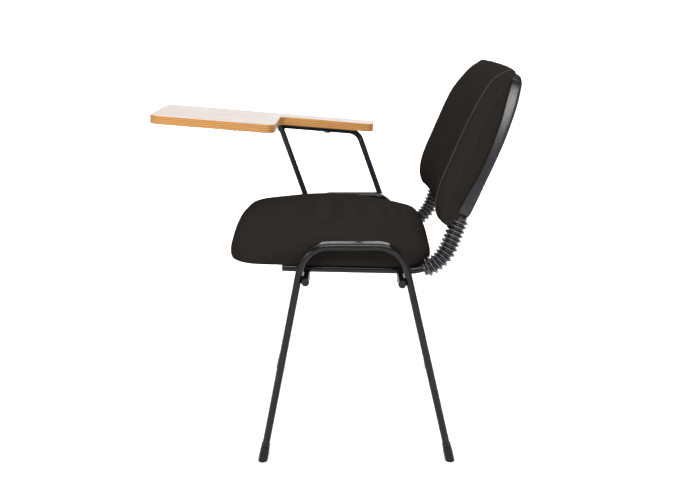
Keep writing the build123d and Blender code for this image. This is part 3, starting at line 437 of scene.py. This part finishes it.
# Paler plastic for the bellows' crests: a painted highlight along each ridge.
SLEEVE_CREST_PAINTED_HIGHLIGHT = moulded_plastic("sleeve_crest_painted_highlight", (0.060, 0.060, 0.063), rough=(0.30, 0.42), grain=1100.0,
                                specular=0.05, coat=1.0, coat_rough=0.16)
SHELL = moulded_plastic("shell_moulding", (0.007, 0.007, 0.0085), rough=(0.24, 0.36), grain=520.0,
                        depth=0.00012, specular=0.05, coat=0.6, coat_rough=0.15)
ZINC = zinc_plate("zinc_plating")
BLACK_BOLT = gloss_paint("bolt_blacking", (0.012, 0.012, 0.013), rough=(0.3, 0.45), coat=0.1)
OAK = oak_strip("oak_lipping")
TOP = laminate("tablet_skin")
PLY = plywood("beech_plywood")
FELT = underside_felt("dust_cover")

BY_SLOT = {
    "frame_paint": PAINT, "arm_paint": ARM_PAINT, "cap_plastic": CAPS, "ferrule_plastic": FERRULES,
    "sleeve_rubber": SLEEVES, "shell_plastic": SHELL, "seat_fabric": CLOTH, "board_wood": PLY,
    "underside_cover": FELT, "tablet_laminate": TOP, "tablet_core_board": PLY,
    "tablet_edge_wood": OAK, "zinc_steel": ZINC, "black_fastener": BLACK_BOLT,
}
for part in frame["record"]["subparts"]:
    node = NODES[part["node"]]
    node.data.materials.clear()
    node.data.materials.append(BY_SLOT[part["material_slot"]])


def keep(obj, material, slot, *replaced):
    """Material and body for a new piece; the slot argument is not used."""
    obj.data.materials.clear()
    obj.data.materials.append(material)
    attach(obj, BODY)
    if replaced:
        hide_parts(*replaced)
    return obj


# ---------------------------------------------------------------- soft goods


def ease(low, high, value):
    """0 below low, 1 above high, and a smooth change between."""
    t = min(max((value - low) / (high - low), 0.0), 1.0)
    return t * t * (3 - 2 * t)


PRESSURE_FRAMES = 20
CLOTH_STIFFNESS = 14.0
EVENING_PASSES = 12
MOST_RISE = 0.0025


def inflate(obj, cap):
    """Fill a closed shape with gentle pressure; the rise is evened out and kept under a cap."""
    start = [v.co.copy() for v in obj.data.vertices]
    scene = bpy.context.scene
    cloth = modifier(obj, "CLOTH")
    settings = cloth.settings
    settings.use_pressure = True
    settings.uniform_pressure_force = 4.0
    settings.effector_weights.gravity = 0.0
    settings.tension_stiffness = CLOTH_STIFFNESS
    settings.compression_stiffness = CLOTH_STIFFNESS
    settings.quality = 5
    cloth.point_cache.frame_start = 1
    cloth.point_cache.frame_end = PRESSURE_FRAMES
    for number in range(1, PRESSURE_FRAMES + 1):
        scene.frame_set(number)
    deps = bpy.context.evaluated_depsgraph_get()
    moved = [v.co.copy() for v in obj.evaluated_get(deps).data.vertices]
    obj.modifiers.remove(cloth)
    scene.frame_set(1)
    outward = [max(0.0, (new - old).dot(vert.normal))
               for vert, old, new in zip(obj.data.vertices, start, moved)]
    for _ in range(EVENING_PASSES):
        total = [0.0] * len(outward)
        count = [0] * len(outward)
        for edge in obj.data.edges:
            a, b = edge.vertices
            total[a] += outward[b]
            total[b] += outward[a]
            count[a] += 1
            count[b] += 1
        outward = [0.5 * o + 0.5 * t / max(c, 1) for o, t, c in zip(outward, total, count)]
    normals = [vert.normal.copy() for vert in obj.data.vertices]
    for vert, old, normal, rise in zip(obj.data.vertices, start, normals, outward):
        vert.co = old + normal * min(rise, cap(old))


def soften(obj, voxel, cap, smoothings):
    """Remesh a closed cushion, let pressure swell it, and smooth it."""
    size = voxel
    modifier(obj, "REMESH", mode="VOXEL", voxel_size=size, use_smooth_shade=True)
    bake(obj)
    inflate(obj, cap)
    modifier(obj, "SMOOTH", iterations=smoothings, factor=0.5)
    modifier(obj, "SUBSURF", levels=1, render_levels=1)
    return bake(obj)


def rounded_loop(half_x, half_y, front_r, rear_r, steps=12, side=12):
    """A rounded rectangle, as (x, y) points, front corners first."""
    corners = []
    for cx, cy, r, a0 in ((half_x, -half_y, front_r, -90), (half_x, half_y, rear_r, 0),
                          (-half_x, half_y, rear_r, 90), (-half_x, -half_y, front_r, 180)):
        mx = cx - r if cx > 0 else cx + r
        my = cy - r if cy > 0 else cy + r
        turn = [radians(a0 + 90 * k / steps) for k in range(steps + 1)]
        corners.append([(mx + r * cos(a), my + r * sin(a)) for a in turn])
    loop = []
    for corner, following in zip(corners, corners[1:] + corners[:1]):
        (x0, y0), (x1, y1) = corner[-1], following[0]
        loop += corner
        loop += [(x0 + (x1 - x0) * k / side, y0 + (y1 - y0) * k / side) for k in range(1, side)]
    return loop


def seat_point(x, y, z, share):
    """A point of the pad: the front edge bows forward and the top falls towards the corners."""
    side = ease(0.1, 1.0, abs(x) / SEAT_HALF_WIDTH)
    front = ease(0.1, 1.0, -y / SEAT_HALF_DEPTH)
    rear = ease(0.1, 1.0, y / SEAT_HALF_DEPTH)
    z -= (SEAT_FRONT_FALL * front + SEAT_REAR_FALL * rear) * side * share
    y -= SEAT_BOW * (1 - (x / SEAT_HALF_WIDTH) ** 2) * min(max(-y / SEAT_HALF_DEPTH, 0.0), 1.0) ** 2
    return SEAT @ Vector((x, y + SEAT_MID_Y, z))


def seat_upholstery():
    """A board-backed seat pad: crowned top falling to the corners, cloth pulled under the edge."""
    bottom, top = 0.0133, 0.0800
    lower_round, round_in, round_up = 0.0105, 0.0455, 0.0350
    shrink = 0.0010
    profile = [(0.10, bottom), (0.024, bottom)]
    for k in range(7):
        a = pi / 2 * k / 6
        profile.append((lower_round * (1 - sin(a)), bottom + lower_round * (1 - cos(a))))
    profile += [(0.0, 0.032), (0.0, 0.040)]
    for k in range(1, 13):
        a = pi / 2 * k / 12
        profile.append((round_in * (1 - cos(a)), top - round_up + round_up * sin(a)))
    profile += [(0.07, top + 0.0006), (0.10, top + 0.0012), (0.15, top + 0.0016)]
    rings = []
    for inset, z in profile:
        inset += shrink
        loop = rounded_loop(SEAT_HALF_WIDTH - inset, SEAT_HALF_DEPTH - inset,
                            max(SEAT_FRONT_CORNER - inset, SMALLEST_CORNER),
                            max(SEAT_REAR_CORNER - inset, SMALLEST_CORNER))
        share = min(max((z - bottom) / (top - bottom), 0.0), 1.0)
        rings.append([seat_point(x, y, z, share) for x, y in loop])
    verts, faces = bridge(rings)
    obj = obj_from("seat_upholstery", verts, faces)
    inverse = SEAT.inverted()

    def cap(p):
        z = (inverse @ p).z
        return 0.0 if z < bottom + 0.001 else MOST_RISE * min(1.0, (z - bottom) / 0.02)

    return soften(obj, 0.0055, cap, 3)


CUSHION_LINE = [(-4, 309), (-8, 325), (-22, 320), (-38, 305), (-47, 282), (-54, 250), (-59.3, 190),
                (-62.5, 120), (-64.3, 62), (-56, 18), (-40, -4), (-18, -6), (-4, 16)]
RIM_LINE = [(-5, 16), (-4, 50), (3, 95), (7, 130), (6.5, 190), (4, 232), (-1, 265), (-4, 295), (-5, 309)]
SHELL_LINE = [(16, 16), (19.5, 40), (23, 102), (25.5, 140), (27, 187), (25.5, 232), (23, 265), (17, 298),
              (10, 313), (1, 317), (-5, 318)]


def metres(line):
    return [(d / 1000, h / 1000) for d, h in line]


def sag(x):
    return sqrt(PLAN_R ** 2 - x ** 2) - sqrt(PLAN_R ** 2 - PROFILE_X ** 2)


FRONT = curve_points(metres(CUSHION_LINE), 8)
RIM = curve_points(metres(RIM_LINE), 8)
PANEL_X = 0.206
SIDE_X = 0.2330
ARCH_X = 0.091
RIM_LOW = 0.016
RIM_HIGH = 0.309
RIM_STEPS = 24
SMALLEST_DEPTH = 0.03


def panel_x(height):
    """Half the width of the front panel: its seams draw in towards the top and a little below."""
    return PANEL_X - 0.030 * ease(0.235, 0.312, height) - 0.010 * ease(0.03, -0.01, height)


def outline_shift(x, depth, h):
    """How far the outline falls towards its corners: most at the front of the top edge."""
    out = min(max((abs(x) - ARCH_X) / (SIDE_X - ARCH_X), 0.0), 1.0) ** 1.3
    front = ease(0.006, 0.036, -depth)
    top = (0.0055 + 0.0175 * front) * out * ease(0.155, 0.28, h)
    bottom = 0.0047 * out * front * ease(0.155, 0.04, h)
    return -top - bottom


def back_point(x, d, h):
    """A point of the side profile, drawn in towards the rim beyond the panel's edge."""
    edge = panel_x(h)
    share = min(max((abs(x) - edge) / (SIDE_X - edge), 0.0), 1.0)
    rim = value_at(RIM, min(max(h, RIM_LOW), RIM_HIGH))
    h += outline_shift(x, d, h)
    d = rim + (d - rim) * max(side_depth(share), SMALLEST_DEPTH)
    return BACK @ Vector((x, d + sag(x), h))


def back_section(x, front):
    """The closed side profile at x."""
    ring = [back_point(x, d, h) for d, h in front]
    for i in range(RIM_STEPS - 1, 0, -1):
        h = RIM_HIGH - (RIM_HIGH - RIM_LOW) * i / RIM_STEPS
        ring.append(BACK @ Vector((x, value_at(RIM, h) + 0.004 + sag(x), h + outline_shift(x, 0.0, h))))
    return ring


def side_depth(u):
    """How far forward the side band still stands at a share u of its bulge."""
    return max(0.0, 1 - u ** 2.0) ** 0.36


def back_upholstery():
    """A padded back: one front panel over top and bottom, and a crescent band on each side."""
    shrink = 0.0065
    stations = [0.0, 0.05, 0.1, 0.14, 0.165, 0.182, 0.195, 0.205]
    band_start = PANEL_X - 0.004
    band = SIDE_X - PANEL_X + 0.004 - shrink / 2
    stations += [band_start + band * sin(k / 16 * pi / 2) for k in range(17)]
    mirrored = [-x for x in reversed(stations[1:])]
    front = [(d + shrink, h) for d, h in FRONT]
    rings = [back_section(x, front) for x in mirrored + stations]
    verts, faces = bridge(rings)
    obj = obj_from("back_upholstery", verts, faces)
    inverse = BACK.inverted()

    def cap(p):
        q = inverse @ p
        d = q.y - sag(q.x)
        return 0.0 if d > -0.012 else MOST_RISE * min(1.0, (-0.012 - d) / 0.015)

    return soften(obj, 0.005, cap, 2)


seat = seat_upholstery()
back = back_upholstery()


def seam_groove(obj, points, depth, reach):
    """Press the cloth in along a line of points."""
    tree = KDTree(len(points))
    for index, p in enumerate(points):
        tree.insert(p, index)
    tree.balance()
    for vert in obj.data.vertices:
        _, _, gap = tree.find(vert.co)
        if gap < 3 * reach:
            vert.co -= vert.normal * depth * 2.718 ** (-(gap / reach) ** 2)


def back_seams():
    """The seam on each side where the front panel meets the side band."""
    seams = []
    for side in (1, -1):
        points = []
        for d, h in FRONT[9:-14]:
            x = side * (panel_x(h) + 0.001)
            guess = back_point(x, d, h)
            found, place, _, _ = back.closest_point_on_mesh(guess)
            if found:
                points.append(place)
        seams.append(points)
    return seams


for number, points in enumerate(back_seams()):
    dense = []
    for a, b in zip(points, points[1:]):
        steps = max(1, int((b - a).length / 0.002))
        dense += [a.lerp(b, s / steps) for s in range(steps)]
    dense.append(points[-1])
    seam_groove(back, dense, 0.0012, 0.0030)
    name = ("left", "right")[number]
    piping = tube_along(f"back_seam_{name}", dense, 0.0015, 8)
    # The piping wears the paler seam cloth, a painted highlight along the seam.
    keep(piping, SEAM_CLOTH_PAINTED_HIGHLIGHT, "seat_fabric")

keep(seat, CLOTH, "seat_fabric", "seat_cushion")
keep(back, CLOTH, "seat_fabric", "back_cushion")

# ---------------------------------------------------------------- shell of the back


def shell_moulding():
    """The tray behind the cushion: a narrow side wall, a rolled edge and a broad rear face."""
    rear_line = curve_points(metres(SHELL_LINE), 10)
    half_x, low, high, corner = 0.235, 0.016, 0.3175, 0.019
    mid_h = (low + high) / 2
    half_h = (high - low) / 2
    rings = []
    edge = [(0.0, None), (0.0, 0.0140), (0.0, 0.0034), (0.0003, 0.0020), (0.0011, 0.0009),
            (0.0022, 0.0002), (0.0034, 0.0)]
    outlines = []
    for inset, back_off in edge:
        turn = max(corner - inset, 0.012)
        outlines.append((rounded_loop(half_x - inset, half_h - inset, turn, turn, 10), back_off))
    last_loop = outlines[-1][0]
    for share in (0.97, 0.92, 0.85, 0.76, 0.66, 0.55, 0.44, 0.33, 0.22, 0.11, 0.01):
        outlines.append(([(x * share, dh * share) for x, dh in last_loop], 0.0))
    for loop, back_off in outlines:
        ring = []
        for x, dh in loop:
            h = mid_h + dh
            rim = value_at(RIM, min(h, RIM_HIGH))
            rear = value_at(rear_line, h)
            if back_off is None:
                depth = rim
            else:
                depth = max(rim, rear - back_off * min(1.0, max(rear - rim, 0) / 0.012))
            ring.append(BACK @ Vector((x, depth + sag(x), h)))
        rings.append(ring)
    verts, faces = bridge(rings, cap=False)
    last = (len(rings) - 1) * len(rings[0])
    faces.append(tuple(last + i for i in range(len(rings[0]))))
    obj = obj_from("back_shell_moulding", verts, faces)
    modifier(obj, "SOLIDIFY", thickness=0.0028, offset=-1.0, use_rim=True)
    modifier(obj, "BEVEL", width=0.0007, segments=2, limit_method="ANGLE", angle_limit=radians(50))
    modifier(obj, "SUBSURF", levels=1, render_levels=1)
    return bake(obj)


keep(shell_moulding(), SHELL, "shell_plastic", "back_shell")

# ---------------------------------------------------------------- corrugated sleeves


def support_line():
    """The bend and upper run of the back supports, as points in (y, z)."""
    base = SEAT @ Vector((0, 0, 0.0075))
    along = Vector((cos(SEAT_TILT), -sin(SEAT_TILT)))
    up = Vector((sin(BACK_LEAN), cos(BACK_LEAN)))
    start = Vector((base.y, base.z))
    line = Vector((BACK.translation.y, BACK.translation.z))
    gap = line - start
    cross = along.x * up.y - along.y * up.x
    reach = (gap.x * up.y - gap.y * up.x) / cross
    corner = start + along * reach
    turn = pi / 2 - BACK_LEAN + SEAT_TILT
    radius = 0.080
    leave = radius * tan(turn / 2)
    first = corner - along * leave
    last = corner + up * leave
    centre = first + Vector((-along.y, along.x)) * radius
    return centre, radius, last, up


SLEEVE_SIDES = 40
RIDGE_STEPS = 16
SLEEVE_OUTWARD = 0.0045
# Faces above this ridge height get the painted highlight.
CREST_HEIGHT = 0.86


def sleeve(name, x, node):
    """A moulded bellows: thirteen rounded ridges with a painted highlight along each crest, and a plain
    cuff at each end.
    """
    centre, radius, last, up = support_line()
    a0 = radians(19.0) - pi / 2
    a1 = radians(70.0) - pi / 2
    arc = radius * (a1 - a0)
    top = Vector((BACK.translation.y, BACK.translation.z)) + up * 0.016
    run = (top - last).length
    total = arc + run
    ridges, cuff = 13, 0.005
    pitch = (total - 2 * cuff) / ridges
    steps = (ridges + 1) * RIDGE_STEPS
    rings = []
    heights = []
    for i in range(steps + 1):
        s = total * i / steps
        if s < arc:
            a = a0 + s / radius
            p = centre + Vector((cos(a), sin(a))) * radius
            t = Vector((-sin(a), cos(a)))
        else:
            p = last + up * (s - arc)
            t = up
        share = min(max((s - cuff) / pitch, 0.0), ridges)
        height = (0.5 - 0.5 * cos(2 * pi * share)) ** 1.05
        half_w = 0.0180 + 0.0045 * height
        half_d = 0.0140 + 0.0058 * height
        across = Vector((-t.y, t.x))
        ring = []
        for k in range(SLEEVE_SIDES):
            b = 2 * pi * k / SLEEVE_SIDES
            q = p + across * (half_d * sin(b) - SLEEVE_OUTWARD)
            ring.append(Vector((x + half_w * cos(b), q.x, q.y)))
        rings.append(ring)
        heights.append(height)
    verts, faces = bridge(rings)
    obj = keep(obj_from(name, verts, faces), SLEEVES, "sleeve_rubber", node)
    obj.data.materials.append(SLEEVE_CREST_PAINTED_HIGHLIGHT)
    # Faces at the ridge crests take the second, paler material: a painted highlight.
    for poly in obj.data.polygons[:steps * SLEEVE_SIDES]:
        first = poly.index // SLEEVE_SIDES
        if min(heights[first], heights[first + 1]) > CREST_HEIGHT:
            poly.material_index = 1


sleeve("sleeve_left", MID_X + SUPPORT_X, "bellows_left")
sleeve("sleeve_right", MID_X - SUPPORT_X, "bellows_right")

# ---------------------------------------------------------------- smooth shading of the CAD parts

for node in NODES.values():
    if node.type == "MESH":
        node.data.shade_smooth()
        node.data.set_sharp_from_angle(angle=radians(30))

# ---------------------------------------------------------------- stage, lights and camera


def stage_floor():
    """A pale, faintly glowing sheet of paper that curves up well behind the chair."""
    rows = [(18.0, 0.0), (3.0, 0.0), (0.0, 0.0), (-3.0, 0.0), (-5.0, 0.0)]
    rows += [(-5.0 - 2.0 * sin(radians(a)), 2.0 - 2.0 * cos(radians(a))) for a in range(10, 91, 10)]
    rows += [(-7.0, 4.0), (-7.0, 6.0)]
    half_width, columns = 24.0, 13
    across = [-half_width + 2 * half_width * i / (columns - 1) for i in range(columns)]
    verts = [(x, y, z) for x, z in rows for y in across]
    faces = [(r * columns + i, r * columns + i + 1, (r + 1) * columns + i + 1, (r + 1) * columns + i)
             for r in range(len(rows) - 1) for i in range(columns - 1)]
    floor = obj_from("floor", verts, faces)
    n = Nodes("floor_paper")
    n.shader.inputs["Emission Color"].default_value = (1, 1, 1, 1)
    soft = n.noise(2.0, 2.0)
    floor.data.materials.append(n.finish(color=n.mix(soft, (0.90, 0.90, 0.90), (0.93, 0.93, 0.93)),
                                         rough=n.ramp(soft, [(0.0, 0.75), (1.0, 0.85)]), glow=0.30))


stage_floor()


def soft_light(name, place, target, size_x, size_y, watts):
    data = bpy.data.lights.new(name, "AREA")
    data.shape = "RECTANGLE"
    data.size = size_x
    data.size_y = size_y
    data.energy = watts
    lamp = bpy.data.objects.new(name, data)
    lamp.location = place
    lamp.rotation_euler = (Vector(target) - Vector(place)).to_track_quat("-Z", "Y").to_euler()
    bpy.context.scene.collection.objects.link(lamp)


soft_light("overhead", (0.3, 0.2, 3.2), (0, 0, 0.4), 2.8, 2.8, 34)
soft_light("key", (2.5, 0.3, 3.2), (0, 0, 0.5), 3.0, 1.5, 125)
soft_light("fill", (2.7, -2.2, 1.7), (0, 0, 0.5), 1.0, 1.0, 36)
soft_light("rim_light", (2.9, 0.86, 0.48), (0.25, 0.37, 0.74), 0.26, 0.16, 3.2)
soft_light("paper_light", (-2.8, 0.0, 3.4), (-6.6, 0, 1.4), 5.0, 2.0, 330)
soft_light("floor_light", (-2.0, 0.0, 2.9), (-2.2, 0, 0.0), 3.0, 3.0, 85)

world = bpy.data.worlds.new("studio")
bpy.context.scene.world = world
world.use_nodes = True
sky = world.node_tree
direction = sky.nodes.new("ShaderNodeTexCoord")
split = sky.nodes.new("ShaderNodeSeparateXYZ")
height = sky.nodes.new("ShaderNodeMath")
height.operation = "ABSOLUTE"
band = sky.nodes.new("ShaderNodeValToRGB")
band.color_ramp.elements[0].position = 0.20
band.color_ramp.elements[0].color = (0.60, 0.60, 0.60, 1)
band.color_ramp.elements[1].position = 0.50
band.color_ramp.elements[1].color = (0.07, 0.07, 0.07, 1)
sky.links.new(direction.outputs["Generated"], split.inputs[0])
sky.links.new(split.outputs["Z"], height.inputs[0])
sky.links.new(height.outputs[0], band.inputs["Fac"])
sky.links.new(band.outputs["Color"], sky.nodes["Background"].inputs["Color"])
sky.nodes["Background"].inputs["Strength"].default_value = 1.0
bpy.context.scene.view_settings.view_transform = "Standard"

camera_data = bpy.data.cameras.new("camera")
camera_data.lens = 46.74
camera_data.sensor_width = 36.0
camera_data.sensor_fit = "HORIZONTAL"
camera_data.clip_end = 50.0
camera = bpy.data.objects.new("camera", camera_data)
pitch, yaw = radians(14.456), radians(0.162)
ahead = Vector((-cos(pitch) * cos(yaw), cos(pitch) * sin(yaw), -sin(pitch)))
camera.location = (2.0256, 0.0556, 0.9229)
camera.rotation_euler = ahead.to_track_quat("-Z", "Y").to_euler()
bpy.context.scene.collection.objects.link(camera)
bpy.context.scene.camera = camera
